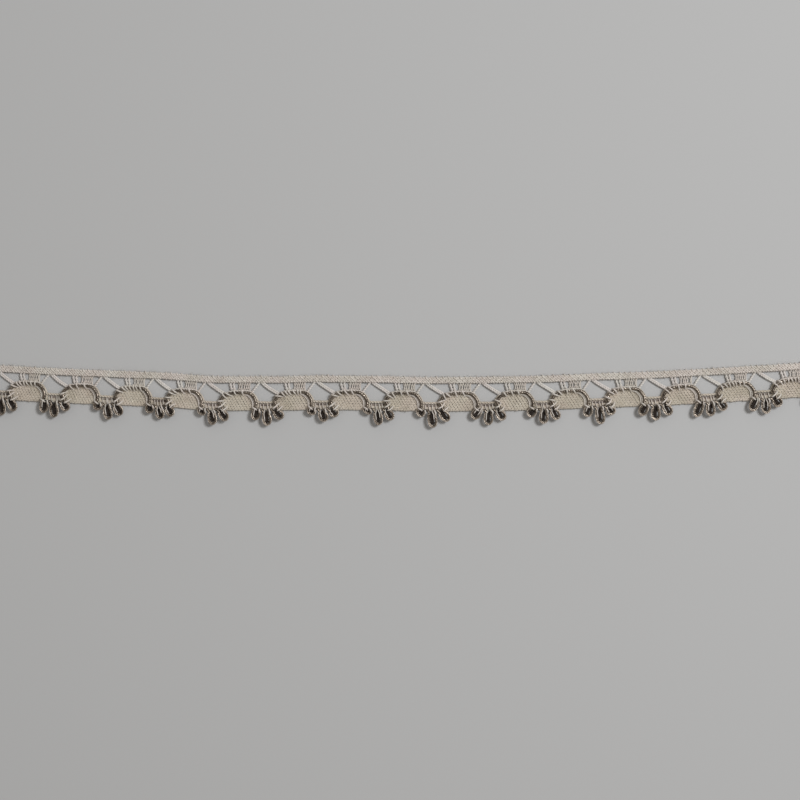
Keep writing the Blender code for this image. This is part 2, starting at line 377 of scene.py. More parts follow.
def yarn_piece(name, strands, values, material, radius=None):
    """One piece of yarn or cord: strands made solid by the yarn tree, as a plain mesh at the origin."""
    source = strand_curves(name, strands, radius)
    bpy.context.scene.collection.objects.link(source)
    modifier = source.modifiers.new("Yarn", "NODES")
    modifier.node_group = bpy.data.node_groups.get("Twisted Yarn") or yarn_tree()
    names = {item.name: item.identifier for item in modifier.node_group.interface.items_tree
             if item.in_out == "INPUT"}
    for label, value in {**values, "Material": material}.items():
        modifier[names[label]] = value
    graph = bpy.context.evaluated_depsgraph_get()
    mesh = bpy.data.meshes.new_from_object(source.evaluated_get(graph), depsgraph=graph)
    mesh.name = name
    source.modifiers.remove(modifier)
    bpy.data.objects.remove(source)
    piece = bpy.data.objects.new(name, mesh)
    bpy.context.scene.collection.objects.link(piece)
    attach(piece, "root")
    return piece


# Shader nodes

class Value:
    """A socket that can be used in a Python expression."""

    def __init__(self, paint, socket):
        self.paint = paint
        self.socket = socket

    def _math(self, operation, *values):
        return self.paint.node("ShaderNodeMath", {"operation": operation}, *values)

    def __add__(self, other):
        return self._math("ADD", self, other)

    def __sub__(self, other):
        return self._math("SUBTRACT", self, other)

    def __mul__(self, other):
        return self._math("MULTIPLY", self, other)

    def __radd__(self, other):
        return self._math("ADD", other, self)

    def __rsub__(self, other):
        return self._math("SUBTRACT", other, self)

    def __rmul__(self, other):
        return self._math("MULTIPLY", other, self)


class Paint:
    """A material and the nodes that colour it."""

    def __init__(self, name):
        self.material = bpy.data.materials.new(name)
        self.material.use_nodes = True
        self.tree = self.material.node_tree
        self.shader = self.tree.nodes["Principled BSDF"]

    def node(self, kind, settings=None, *values, output=0, **named):
        """A node of a type: its settings first, then the values or links of its sockets."""
        node = self.tree.nodes.new(kind)
        for key, value in (settings or {}).items():
            setattr(node, key, value)
        for target, value in zip(node.inputs, values):
            self.join(value, target)
        for key, value in named.items():
            self.join(value, node.inputs[key.replace("_", " ")])
        return Value(self, node.outputs[output])

    def join(self, value, target):
        if isinstance(value, Value):
            self.tree.links.new(value.socket, target)
        else:
            target.default_value = value

    def mix(self, factor, first, second):
        """A colour between two colours."""
        node = self.tree.nodes.new("ShaderNodeMix")
        node.data_type = "RGBA"
        self.join(factor, node.inputs[0])
        self.join(first, node.inputs[6])
        self.join(second, node.inputs[7])
        return Value(self, node.outputs[2])

    def ramp(self, value, low, high):
        """A value spread from 0 to 1 between two limits."""
        return self.node("ShaderNodeMapRange", {"clamp": True}, value, low, high, 0.0, 1.0)

    def set(self, **sockets):
        for key, value in sockets.items():
            self.join(value, self.shader.inputs[key.replace("_", " ")])


def rgb(parts):
    """A solid colour with its alpha."""
    return (*parts, 1.0)


def tinted(parts, tint):
    """A colour times a tint."""
    return tuple(part * share for part, share in zip(parts, tint))


def along_yarn(paint, spread, each_metre):
    """A place for noise that follows a yarn and turns with its plies."""
    length = paint.node("ShaderNodeAttribute", {"attribute_name": "yarn_length"}, output=2)
    around = paint.node("ShaderNodeAttribute", {"attribute_name": "yarn_round"}, output=1)
    stretched = paint.node("ShaderNodeCombineXYZ", None, 0.0, 0.0, length * each_metre)
    return paint.node("ShaderNodeVectorMath", {"operation": "MULTIPLY_ADD"},
                      around, (spread, spread, 0.0), stretched)


def cotton_paint(name, light, dark, settings):
    """Matt cotton yarn: fibres run along the plies, the colour varies from yarn to yarn."""
    paint = Paint(name)
    fibre_place = along_yarn(paint, 3.2, settings.fibre_scale)
    fibres = paint.node("ShaderNodeTexNoise", None, Vector=fibre_place, Scale=1.0, Detail=3.0,
                        Roughness=0.6)
    place = paint.node("ShaderNodeTexCoord", output=3)
    patches = paint.node("ShaderNodeTexNoise", None, Vector=place, Scale=260.0, Detail=2.0)
    tone = paint.ramp(fibres * 0.55 + patches * 0.45, 0.36, 0.62)
    areas = paint.node("ShaderNodeTexNoise", None, Vector=place, Scale=190.0, Detail=1.0)
    plain = paint.mix(tone, rgb(dark), rgb(light))
    rosy = paint.mix(tone, rgb(tinted(dark, settings.rosy)), rgb(tinted(light, settings.rosy)))
    paint.set(Base_Color=paint.mix(paint.ramp(areas, 0.42, 0.58), plain, rosy))
    bump = paint.node("ShaderNodeBump", None, Strength=0.5, Distance=0.00006, Height=fibres)
    paint.set(Normal=bump, Roughness=0.9, Sheen_Weight=0.25, Sheen_Roughness=0.5, Specular_IOR_Level=0.25)
    return paint.material


def metal_paint(name, silver, tarnish_colour, rough):
    """Antique silver: bright where worn and brown where tarnished, in patches mixed by noise along the
    strips.
    """
    paint = Paint(name)
    place = paint.node("ShaderNodeTexCoord", output=3)
    strip_place = along_yarn(paint, 1.4, 9000.0)
    strips = paint.node("ShaderNodeTexNoise", None, Vector=strip_place, Scale=1.0, Detail=2.0)
    tarnish = paint.node("ShaderNodeTexNoise", None, Vector=place, Scale=900.0, Detail=3.0, Roughness=0.65)
    worn = paint.ramp(tarnish * 0.6 + strips * 0.4, 0.38, 0.62)
    paint.set(Base_Color=paint.mix(worn, rgb(tarnish_colour), rgb(silver)))
    paint.set(Roughness=rough - worn * 0.12, Metallic=1.0)
    paint.set(Normal=paint.node("ShaderNodeBump", None, Strength=0.6, Distance=0.00004, Height=strips))
    return paint.material


# Strands of each part of the lace

def wobble(path, size):
    """Small slow strays of a yarn from its path."""
    count = len(path)
    knots = max(3, count // 8)
    strays = chance.normal(0.0, size, (knots, 3))
    places = np.linspace(0, count - 1, knots)
    between = [np.interp(np.arange(count), places, strays[:, axis]) for axis in range(3)]
    return path + np.stack(between, axis=1)


def kept(points):
    """The stretch of a path that lies inside the cut ends, or nothing if it is too short."""
    points = np.asarray(points, float)
    inside = points[(points[:, 0] >= START) & (points[:, 0] <= END)]
    return inside if len(inside) > 2 else None


def add_kept(strands, path):
    """Adds what is kept of a path to the strands."""
    path = kept(path)
    if path is not None:
        strands.append(path)


# Where a winding yarn crosses each row of the heading, along from its stitch and down
HEADING_ROWS = ((0.14, 0.42), (0.46, 0.72), (0.78, 1.0), (1.1, 1.28), (1.38, 1.54))


def heading_strands():
    """Level yarns along the heading, woven with two yarns that wind round it on a slant."""
    strands = []
    half = HEADING_STITCH / 2
    for row, (across, down) in enumerate(HEADING_ROWS):
        along = np.arange(START, END + 0.01, 0.16)
        shift = across + (half if row % 2 == 0 else 0.0)
        wave = np.cos((along - START - shift) / HEADING_STITCH * math.tau)
        line = np.column_stack((along, np.full(len(along), down), 0.74 + 0.14 * wave))
        strands.append(wobble(line, 0.025))
    count = int(round((END - START) / HEADING_STITCH))
    for yarn in (0, 1):
        path = []
        for stitch in range(-1, count + 1):
            stray = chance.normal(0.0, 0.05)
            edge = 0.14 + 0.24 * yarn + chance.normal(0.0, 0.05)
            trip = [(0.0, edge, 0.5)]
            for row, (across, down) in enumerate(HEADING_ROWS):
                trip.append((across, down, (0.98 if row % 2 == yarn else 0.78) - 0.1 * yarn))
            trip += [(1.48, 1.7 - 0.06 * yarn, 0.5), (1.44, 1.56, 0.26), (1.38, 1.2, 0.2),
                     (1.33, 0.8, 0.2), (1.3, 0.42, 0.26)]
            start = START + stitch * HEADING_STITCH + yarn * half + stray
            path += [(start + u, t + chance.normal(0.0, 0.02), z) for u, t, z in trip]
        add_kept(strands, smooth(path, 0.2))
    return strands


def plait_strands():
    """Diagonal plaits, vertical plaits and shoulder strands of every repeat."""
    strands = []
    for repeat in range(len(REPEATS)):
        lean = chance.normal(0.0, 0.08)
        diagonal = smooth([(-1.3, 1.3, 0.4), (-0.7, 1.95, 0.5), (1.1 + lean, 3.2, 0.62),
                           (2.9, 4.35, 0.55), (3.4, 4.7, 0.35)])
        strands += braid(along_repeat(diagonal, repeat), 4, 0.56, 0.3, 2.3)
        sway = chance.normal(0.0, 0.06)
        for top, foot in ((4.4, 4.75), (5.15, 5.4)):
            vertical = smooth([(top, 1.3, 0.4), (top + sway, 2.1, 0.55),
                               (foot + sway, 3.4, 0.6), (foot, 4.4, 0.4)])
            strands += braid(along_repeat(vertical, repeat), 2, 0.33, 0.33, 1.5)
        shoulder = smooth([(-1.5, 1.4, 0.35), (-2.0, 2.1, 0.45), (-2.9, 3.3, 0.5), (-3.5, 4.2, 0.35)])
        strands += braid(along_repeat(shoulder, repeat), 2, 0.3, 0.3, 1.3)
    return [path for path in map(kept, strands) if path is not None]


def filling_strands():
    """Open half stitch that fills the gap over each crest, from its middle to the shoulder."""
    strands = []
    for repeat in range(len(REPEATS)):
        for index in range(6):
            top = -6.7 + index * 0.52 + chance.normal(0.0, 0.05)
            foot = min(top + 0.6, -3.9)
            for start, end, up in ((top, foot, 0.42), (foot, top, 0.6)):
                line = [(start, 1.6, up - 0.08), ((start + end) / 2, 2.7, up), (end, 3.9, up - 0.08)]
                add_kept(strands, along_repeat(smooth(line, 0.2), repeat))
    return strands


def block_sides(down):
    """Left and right edge of a cloth block at a depth, along from the valley before it."""
    rising = np.array(((2.6, 8.3),) + RISING + (CREST,))
    falling = np.array((CREST,) + tuple((u + PITCH, t) for u, t in FALLING) + ((PITCH - 2.5, 8.3),))
    left = np.interp(-down, -rising[:, 1], rising[:, 0])
    right = np.interp(down, falling[:, 1], falling[:, 0])
    return left, right


def block_strands():
    """Slanted pairs and level yarns woven through each other in every cloth block."""
    strands = []
    for repeat in range(-1, len(REPEATS)):
        base = repeat * PITCH
        for pair in range(-2, 12):
            foot = 3.6 + pair * BLOCK_PAIR_STEP
            down = np.arange(BLOCK_TOP, BLOCK_FOOT + 0.01, 0.15)
            along = foot + (down - BLOCK_FOOT) * BLOCK_SLANT
            turns = [(-1.0) ** (row + pair) for row in range(len(BLOCK_LEVELS))]
            over = np.interp(down, BLOCK_LEVELS, turns)
            up = 0.68 + 0.03 * over + 0.35 * np.clip((4.95 - down) / 0.5, 0.0, 1.0)
            sides = np.array([block_sides(t) for t in down])
            inside = (along > sides[:, 0] - 0.1) & (along < sides[:, 1] + 0.1)
            if inside.sum() < 4:
                continue
            reach = chance.normal(0.0, 0.06)
            lift = chance.normal(0.0, 0.03)
            for shift in (0.0, 0.31):
                line = np.column_stack((base + along + shift, down, up + lift))[inside]
                if inside[-1]:
                    turn = ((0.03, 0.1 + reach, -0.08), (0.04, 0.18 + reach, -0.28), (0.03, 0.1, -0.5))
                    line = np.concatenate((line, line[-1] + np.array(turn)))
                add_kept(strands, wobble(line, 0.015))
        for row, level in enumerate(BLOCK_LEVELS):
            left, right = block_sides(level)
            along = np.arange(left - 0.1, right + 0.1, 0.12)
            pair_phase = (along - 3.6 - (level - BLOCK_FOOT) * BLOCK_SLANT) / BLOCK_PAIR_STEP
            up = 0.6 - 0.06 * np.cos(pair_phase * math.pi) * (-1.0) ** row
            line = np.column_stack((base + along, np.full(len(along), level), up))
            add_kept(strands, wobble(line, 0.015))
    return strands


def wave_strands():
    """Cotton that runs beside and under the gimp."""
    strands = []
    for repeat in range(len(REPEATS)):
        for offset, height in ((-0.42, 0.5), (-0.12, 0.6), (0.2, 0.5)):
            strands.append(wobble(beside(wave_path(repeat, height), offset, height), 0.015))
        bridge = smooth([(-2.7, 6.3, 0.5), (-1.6, 6.35, 0.75), (0.1, 6.4, 0.8),
                         (1.6, 6.35, 0.75), (2.5, 6.3, 0.5)])
        strands += braid(along_repeat(bridge, repeat), 2, 0.3, 0.3, 1.4)
    return strands


def rim_strands():
    """Light yarns beside the gimp: inside the falling side, and along the top of the crest."""
    strands = []
    for repeat in range(-1, len(REPEATS)):
        for offset, top in ((0.0, 1.22), (-0.36, 1.1)):
            rim = smooth([(-5.5 + offset, 4.5, 0.7), (-4.75 + offset, 4.6, top - 0.1),
                          (-3.95 + offset, 4.88, top), (-3.26 + offset, 5.6, top),
                          (-2.88 + offset, 6.4, top), (-2.86 + offset, 7.2, top - 0.1),
                          (-2.8 + offset, 7.95, 0.7)])
            add_kept(strands, wobble(along_repeat(rim, repeat), 0.02))
        crest = smooth([(3.3, 4.35, 0.9), (4.1, 3.98, 1.5), (5.1, 3.76, 1.68), (6.5, 3.68, 1.7),
                        (7.8, 3.68, 1.68), (8.6, 3.78, 1.5), (9.3, 4.0, 0.9)])
        strands += [path for path in map(kept, braid(along_repeat(crest, repeat), 2, 0.24, 0.24, 1.5))
                    if path is not None]
    return strands


def bridge_strands():
    """The single yarns low down across each valley, in darker colours that paint the shade falling on them
    under the gimp.
    """
    strands = []
    for repeat in range(len(REPEATS)):
        for level, height in ((6.85, 0.3), (7.2, 0.38), (7.45, 0.34)):
            line = smooth([(-2.7, level, height), (0.0, level + 0.1, height), (2.6, level, height)])
            strands.append(wobble(along_repeat(line, repeat), 0.03))
    return strands


def over_cord(centre, ahead, slant, inward):
    """One wrap that comes up beside the gimp, crosses over it and runs down into the cloth."""
    side = np.array((-ahead[1], ahead[0]))
    across = side + ahead * slant
    profile = ((-0.6, 0.5), (-0.56, 1.1), (-0.48, 1.7), (-0.28, 2.08), (0.0, 2.18), (0.22, 2.06),
               (0.38, 1.7), (0.5, 1.25), (0.6, 1.05), (0.6 + inward, 0.95), (0.7 + inward, 0.5))
    return smooth([(*(centre[:2] + across * share), height) for share, height in profile], 0.12)


def picot_strokes(repeat):
    """The light yarn that runs down inside the left leg of the picots, and sometimes the right; it is also
    a painted highlight on the legs.
    """
    strands = []
    for name, tip in zip(NECKS, REPEATS[repeat][2:]):
        start, axis, side = picot_axes(NECKS[name], tip)
        # The light leg yarn is also a painted highlight along the picots' left legs.
        legs = [(-0.5, 0.55 + chance.normal(0.0, 0.05))]
        if chance.random() < 0.4:
            legs = []
        if chance.random() < 0.25:
            legs.append((0.42, 0.45))
        for offset, reach in legs:
            points = []
            for share in (-0.22, -0.08, 0.1, 0.35, reach, reach + 0.06):
                inward = offset * (0.55 if share < 0.0 else 1.0)
                place = start + axis * share + side * inward
                sunk = 0.7 if share in (-0.22, reach + 0.06) else 0.0
                points.append((place[0], place[1], CORD_HEIGHT + 0.4 - PICOT_DROOP * share - sunk))
            add_kept(strands, along_repeat(smooth(points, 0.12), repeat))
    return strands


# Strokes of yarn over the gimp at the rising side and between the picots
STROKES = (
    # lower end      middle        upper end
    ((1.85, 7.6), (2.45, 7.2), (2.95, 6.7)),
    ((2.8, 8.3), (3.25, 7.95), (3.7, 7.5)),
    ((-3.0, 7.65), (-2.6, 7.95), (-2.2, 8.25)),
    ((-1.55, 8.1), (-1.5, 8.4), (-1.5, 8.8)),
    ((0.75, 8.2), (0.95, 8.75), (0.85, 9.2)),
)
# Places where single wraps cross the gimp, from the rising side over the crest
WRAPS = ((2.2, 6.1), (2.9, 4.9), (3.9, 4.42), (4.75, 4.18), (5.6, 4.02), (6.45, 4.0), (7.3, 4.0),
         (8.2, 4.05))


def wrap_strands():
    """Cotton wraps over the rising side and the crest of the gimp, and strokes at the picots."""
    strands = []
    path = resampled(gimp_path(), 0.1)
    ahead = np.gradient(path[:, :2], axis=0)
    ahead /= np.linalg.norm(ahead, axis=1)[:, None]
    for repeat in range(len(REPEATS)):
        crowded = chance.random() < 0.55
        for index, (u, t) in enumerate(WRAPS):
            if index > 1 and index % 2 and not crowded:
                continue
            target = np.array((repeat * PITCH + u + chance.normal(0.0, 0.09), t))
            nearest = int(np.argmin(np.linalg.norm(path[:, :2] - target, axis=1)))
            slant = 0.4 + chance.normal(0.0, 0.15 if index > 1 else 0.35)
            if index < 2 and chance.random() < 0.25:
                continue
            inward = 0.02 + chance.random() * 0.25
            add_kept(strands, over_cord(path[nearest], ahead[nearest], slant, inward))
        for start, middle, end in STROKES:
            ends = np.array((start, middle, end)) + chance.normal(0.0, 0.06, (3, 2))
            spread = np.array([ends[0] - (ends[1] - ends[0]) * 0.35, ends[0], ends[1], ends[2],
                               ends[2] + (ends[2] - ends[1]) * 0.35])
            stroke = np.column_stack((spread, (0.9, 2.14, 2.16, 1.5, 0.7)))
            add_kept(strands, along_repeat(smooth(stroke, 0.12), repeat))
    return strands


def trim_strands():
    """Thin light yarns: inside the picots' legs, where they are also a painted highlight, and short ones
    from the bridge to the arches.
    """
    strands = []
    for repeat in range(len(REPEATS)):
        strands += picot_strokes(repeat)
        for u in (-1.35, -0.55, 0.3, 1.05):
            foot = u + chance.normal(0.0, 0.1)
            line = [(foot - 0.15, 6.75, 0.45), (foot - 0.05, 7.0, 0.82), (foot, 7.5, 0.98),
                    (foot + 0.1, 7.95, 1.0), (foot + 0.15, 8.2, 0.6)]
            add_kept(strands, along_repeat(smooth(line, 0.12), repeat))
    return strands


def fuzz_strands():
    """Short fibres that stand off the yarns, most of them along the edges of the band."""
    strands = []
    edges = (
        # count  down from  down to  up from  up to  drift of the free end down the band
        (1000, 0.1, 0.3, 0.4, 0.8, -0.5),
        (350, 1.6, 1.9, 0.4, 0.8, 0.4),
        (450, 7.9, 8.25, 0.5, 0.8, 0.45),
        (900, 0.3, 1.7, 0.9, 1.0, 0.0),
        (500, 4.6, 7.6, 0.8, 0.9, 0.0),
    )
    for count, top, foot, low, high, drift in edges:
        for _ in range(count):
            along = chance.uniform(START + 0.2, END - 0.2)
            down = chance.uniform(top, foot)
            if down > 3.0:
                repeat = round(along / PITCH - 0.5) + 0.5
                along = repeat * PITCH + chance.uniform(-3.0, 3.2)
                if not START < along < END:
                    continue
            root = np.array((along, down, chance.uniform(low, high)))
            reach = chance.uniform(0.25, 0.7)
            lean = np.array((chance.normal(0.0, 0.8), drift + chance.normal(0.0, 0.35),
                             chance.uniform(0.1, 0.7)))
            lean *= reach / np.linalg.norm(lean)
            curl = chance.normal(0.0, 0.12, 3)
            fibre = (root, root + lean * 0.4 + curl * 0.4, root + lean * 0.75 + curl, root + lean)
            strands.append(np.array(fibre))
    return strands


def wire_strands(settings):
    """The bright wire that follows the loop of every picot along its top: a less tarnished wire, lighter
    still as a painted highlight along the cord's top.
    """
    strands = []
    for repeat, (_, _, *tips) in enumerate(REPEATS):
        for neck, tip in zip(NECKS.values(), tips):
            loop = smooth(picot_points(neck, tip), 0.12)
            loop = beside(loop, settings.wire * 0.8, 0.0) + (0.0, 0.0, CORD_HEIGHT + 0.14)
            loop[0, 2] -= 0.3
            loop[-1, 2] -= 0.3
            add_kept(strands, along_repeat(wobble(loop, 0.02), repeat))
    return strands


def core_strands():
    """Two core threads inside every picot, from its neck to near its tip, coloured near black as painted
    shade inside the loops.
    """
    strands = []
    for repeat, (_, _, *tips) in enumerate(REPEATS):
        for neck, tip in zip(NECKS.values(), tips):
            start, axis, side = picot_axes(neck, tip)
            for offset in (-CORE_OFFSET, CORE_OFFSET):
                points = []
                for reach in (-0.1, 0.3, 0.6, 0.84):
                    place = start + axis * reach + side * offset
                    points.append((place[0], place[1], CORD_HEIGHT - 0.35 - PICOT_DROOP * reach))
                add_kept(strands, along_repeat(smooth(points), repeat))
    return strands


# Settings

def colour(name, description, default):
    """A colour that can be changed."""
    return bpy.props.FloatVectorProperty(name=name, description=description, subtype="COLOR",
                                         default=default)


def millimetres(name, description, default):
    """A size in millimetres that can be changed."""
    return bpy.props.FloatProperty(name=name, description=f"{description}, in millimetres",
                                   default=default)


class LaceCottonSettings(bpy.types.PropertyGroup):
    """Sizes and colours of the cotton yarn."""
    yarn: millimetres("Yarn", "Diameter of the cotton yarn", 0.36)
    ply_depth: bpy.props.FloatProperty(
        name="Ply depth", description="How deep the groove between two plies is, against the radius",
        default=0.16)
    twist: millimetres("Twist length", "Length of one turn of the plies", 1.3)
    spacing: millimetres("Spacing", "Distance between two rings of points", 0.17)
    fibre_scale: bpy.props.FloatProperty(
        name="Fibre scale", description="How often the fibres change along the yarn, each metre",
        default=2500.0)
    heading_light: colour("Heading light", "Lightest colour of the heading", (0.90, 0.85, 0.78))
    heading_dark: colour("Heading dark", "Darkest colour of the heading", (0.74, 0.68, 0.60))
    ground_light: colour("Ground light", "Lightest colour of the blocks and the wave", (0.84, 0.765, 0.65))
    ground_dark: colour("Ground dark", "Darkest colour of the blocks and the wave", (0.64, 0.57, 0.46))
    plait_light: colour("Plait light", "Lightest colour of the plaits", (0.95, 0.92, 0.87))
    plait_dark: colour("Plait dark", "Darkest colour of the plaits", (0.84, 0.79, 0.73))
    # The bridges' colours are darker as painted shade, where the gimp's shadow falls on them.
    shaded_bridge_light: colour("Stain light", "Lightest colour of the stained bridges", (0.52, 0.45, 0.39))
    shaded_bridge_dark: colour("Stain dark", "Darkest colour of the stained bridges", (0.24, 0.19, 0.165))
    # Near-black core colours: a dark core, painted darker still as the shade inside the picots' loops.
    core_shade_light: colour("Core light", "Lightest colour of the picots' core threads", (0.045, 0.032, 0.024))
    core_shade_dark: colour("Core dark", "Darkest colour of the picots' core threads", (0.018, 0.012, 0.009))
    rosy: bpy.props.FloatVectorProperty(
        name="Rosy tint", description="Tint of the areas that have aged rosy",
        default=(1.01, 0.985, 1.0))
    fibre: millimetres("Fibre", "Diameter of a loose fibre", 0.035)
    thin: millimetres("Thin yarn", "Diameter of the thinnest yarn", 0.22)
    heading_yarn: millimetres("Heading yarn", "Diameter of the yarn of the heading", 0.38)
    wrap: millimetres("Wrap", "Diameter of the yarn wrapped over the gimp", 0.36)


class LaceGimpSettings(bpy.types.PropertyGroup):
    """Sizes and colours of the metal gimp."""
    ridge: bpy.props.FloatProperty(
        name="Ridge depth", description="Depth of the twisted ridges, against the radius",
        default=0.1)
    twist: millimetres("Twist length", "Length of one turn of the strip", 1.8)
    spacing: millimetres("Spacing", "Distance between two rings of points", 0.12)
    wire: millimetres("Wire", "Diameter of the picots' wire", 0.3)
    # The lighter wire colour is a less tarnished wire and also a painted highlight along the top of the
    # picots' cord.
    wire_highlight: colour("Wire light", "Lightest colour of the picots' wire", (0.66, 0.585, 0.51))
    wire_dark: colour("Wire dark", "Darkest colour of the picots' wire", (0.23, 0.18, 0.14))
    silver: colour("Silver", "Colour of the worn ridges", (0.42, 0.36, 0.30))
    tarnish: colour("Tarnish", "Colour of the tarnished grooves", (0.055, 0.040, 0.030))


class LaceStageSettings(bpy.types.PropertyGroup):
    """Floor, light and camera."""
    floor: colour("Floor", "Colour of the floor", (0.62, 0.62, 0.62))
    key: bpy.props.FloatProperty(
        name="Key light", description="Power of the key light",
        default=3.15, unit="POWER")
    sky: bpy.props.FloatProperty(
        name="Sky", description="Strength of the even light from all round",
        default=0.3)


# Operators

def twisted(settings):
    """Inputs of the yarn tree for a two-ply cotton yarn."""
    return {"Radius": settings.yarn / 2 * MM, "Ply Depth": settings.ply_depth, "Plies": 2,
            "Twist Length": settings.twist * MM, "Spacing": settings.spacing * MM, "Sides": 6}


class LACE_OT_heading(bpy.types.Operator):
    """Make the heading, the straight edge that is sewn down"""
    bl_idname = "lace.heading"
    bl_label = "Heading"

    def execute(self, context):
        settings = context.scene.lace_cotton
        paint = cotton_paint("heading_cotton", settings.heading_light, settings.heading_dark, settings)
        values = {**twisted(settings), "Radius": settings.heading_yarn / 2 * MM, "Ply Depth": 0.2}
        piece = yarn_piece("cotton_heading", heading_strands(), values, paint)
        return {"FINISHED"}


class LACE_OT_plaits(bpy.types.Operator):
    """Make the diagonal and vertical plaits and the shoulder strands"""
    bl_idname = "lace.plaits"
    bl_label = "Plaits"

    def execute(self, context):
        settings = context.scene.lace_cotton
        paint = cotton_paint("plait_cotton", settings.plait_light, settings.plait_dark, settings)
        piece = yarn_piece("cotton_plaits", plait_strands(), twisted(settings), paint)
        return {"FINISHED"}


class LACE_OT_blocks(bpy.types.Operator):
    """Make the woven cloth blocks"""
    bl_idname = "lace.blocks"
    bl_label = "Cloth Blocks"

    def execute(self, context):
        settings = context.scene.lace_cotton
        paint = cotton_paint("block_cotton", settings.ground_light, settings.ground_dark, settings)
        piece = yarn_piece("cotton_blocks", block_strands(), twisted(settings), paint)
        return {"FINISHED"}


class LACE_OT_wave(bpy.types.Operator):
    """Make the cotton that follows the gimp and bridges the valleys"""
    bl_idname = "lace.wave"
    bl_label = "Wave and Bridges"

    def execute(self, context):
        settings = context.scene.lace_cotton
        paint = cotton_paint("wave_cotton", settings.ground_light, settings.ground_dark, settings)
        piece = yarn_piece("cotton_wave", wave_strands(), twisted(settings), paint)
        return {"FINISHED"}


class LACE_OT_bridges(bpy.types.Operator):
    """Make the bridges across the valleys, in darker colours that paint the shade falling on them under
    the gimp
    """
    bl_idname = "lace.bridges"
    bl_label = "Bridges"

    def execute(self, context):
        settings = context.scene.lace_cotton
        # Darker colours: painted shade on the bridge yarns.
        paint = cotton_paint("shaded_bridge_cotton", settings.shaded_bridge_light, settings.shaded_bridge_dark, settings)
        piece = yarn_piece("cotton_bridges", bridge_strands(), twisted(settings), paint)
        return {"FINISHED"}


class LACE_OT_rims(bpy.types.Operator):
    """Make the light yarns that lie beside the gimp"""
    bl_idname = "lace.rims"
    bl_label = "Rims"

    def execute(self, context):
        settings = context.scene.lace_cotton
        paint = cotton_paint("rim_cotton", settings.heading_light, settings.heading_dark, settings)
        piece = yarn_piece("cotton_rims", rim_strands(), twisted(settings), paint)
        return {"FINISHED"}


class LACE_OT_trims(bpy.types.Operator):
    """Make the thin yarns at the picots and the bridges, and the filling over the crests"""
    bl_idname = "lace.trims"
    bl_label = "Thin Yarns"

    def execute(self, context):
        settings = context.scene.lace_cotton
        paint = cotton_paint("thin_cotton", settings.heading_light, settings.heading_dark, settings)
        values = {**twisted(settings), "Radius": settings.thin / 2 * MM, "Twist Length": 0.8 * MM}
        piece = yarn_piece("cotton_trims", trim_strands() + filling_strands(), values, paint)
        return {"FINISHED"}


class LACE_OT_fuzz(bpy.types.Operator):
    """Make the short loose fibres of the cotton"""
    bl_idname = "lace.fuzz"
    bl_label = "Loose Fibres"

    def execute(self, context):
        settings = context.scene.lace_cotton
        paint = cotton_paint("fibre_cotton", settings.heading_light, settings.heading_dark, settings)
        values = {**twisted(settings), "Radius": settings.fibre / 2 * MM, "Ply Depth": 0.0, "Sides": 3,
                  "Spacing": 0.2 * MM}
        piece = yarn_piece("cotton_fuzz", fuzz_strands(), values, paint)
        return {"FINISHED"}


class LACE_OT_cores(bpy.types.Operator):
    """Make the dark core threads that fill the picots, coloured near black as painted shade inside the
    loops
    """
    bl_idname = "lace.cores"
    bl_label = "Picot Cores"

    def execute(self, context):
        settings = context.scene.lace_cotton
        # Near-black paint: painted shade inside the picots, on a dark core.
        paint = cotton_paint("core_thread_shade", settings.core_shade_light, settings.core_shade_dark, settings)
        values = {**twisted(settings), "Radius": CORE_WIDTH / 2 * MM}
        piece = yarn_piece("picot_cores", core_strands(), values, paint)
        return {"FINISHED"}


class LACE_OT_wires(bpy.types.Operator):
    """Make the bright wires of the picots, less tarnished metal that is also a painted highlight along the
    cords' tops
    """
    bl_idname = "lace.wires"
    bl_label = "Picot Wires"

    def execute(self, context):
        settings = context.scene.lace_gimp
        values = {"Radius": settings.wire / 2 * MM, "Ply Depth": 0.1, "Plies": 2, "Twist Length": 0.7 * MM,
                  "Spacing": 0.12 * MM, "Sides": 6}
        # Lighter metal: painted highlight along the tops of the picots, on a less tarnished wire.
        paint = metal_paint("worn_silver_highlight", settings.wire_highlight, settings.wire_dark, 0.42)
        piece = yarn_piece("picot_wires", wire_strands(settings), values, paint)
        return {"FINISHED"}


class LACE_OT_gimp(bpy.types.Operator):
    """Make the metal gimp with its picots"""
    bl_idname = "lace.gimp"
    bl_label = "Metal Gimp"

    def execute(self, context):
        settings = context.scene.lace_gimp
        values = {"Radius": CORD / 2 * MM, "Ply Depth": settings.ridge, "Plies": 3,
                  "Twist Length": settings.twist * MM, "Spacing": settings.spacing * MM, "Sides": 9}
        paint = metal_paint("antique_silver", settings.silver, settings.tarnish, 0.36)
        piece = yarn_piece("gimp_cord", [gimp_path()], values, paint, gimp_thickness)
        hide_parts("metal_gimp")
        return {"FINISHED"}


class LACE_OT_wraps(bpy.types.Operator):
    """Make the cotton wraps over the gimp and the ties at the picots"""
    bl_idname = "lace.wraps"
    bl_label = "Wraps and Ties"

    def execute(self, context):
        settings = context.scene.lace_cotton
        paint = cotton_paint("wrap_cotton", settings.heading_light, settings.heading_dark, settings)
        values = {**twisted(settings), "Radius": settings.wrap / 2 * MM, "Ply Depth": 0.22,
                  "Twist Length": 0.9 * MM}
        piece = yarn_piece("cotton_wraps", wrap_strands(), values, paint)
        return {"FINISHED"}


class LACE_OT_cloth(bpy.types.Operator):
    bl_idname = "lace.cloth"
    bl_label = "Declare Cloth"

    def execute(self, context):
        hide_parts("cotton_lace")
        return {"FINISHED"}


